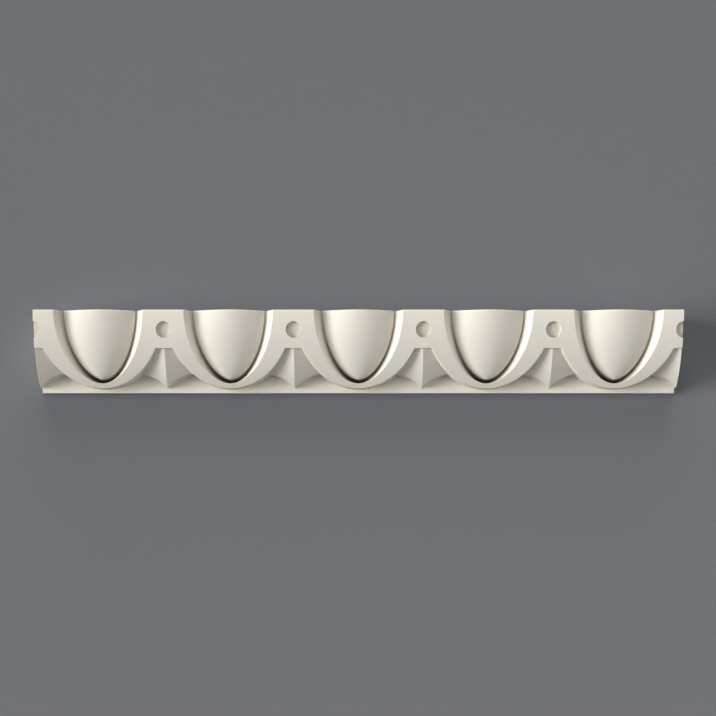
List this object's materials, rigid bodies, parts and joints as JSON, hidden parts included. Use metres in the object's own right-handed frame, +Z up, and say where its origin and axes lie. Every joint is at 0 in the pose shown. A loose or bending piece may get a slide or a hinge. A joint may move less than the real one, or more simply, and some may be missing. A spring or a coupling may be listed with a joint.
{
  "type": "egg and dart moulding",
  "caption": "Straight length of cast plaster ovolo moulding with an egg and dart ornament, flat at the back and cut square at both ends.",
  "frame": {"origin": "middle of the flat back, half way along the length and half way up", "axes": "+X along the length, +Y back into the wall, -Y out to the front, +Z up"},
  "size_m": [0.6, 0.066, 0.0734],
  "materials": {
    "cast_plaster": "matte: plain cream cast plaster, clean, with no paint and a very faint sheen"
  },
  "bodies": {
    "root": {"egg_and_dart_moulding": "cast_plaster"}
  },
  "joints": []
}
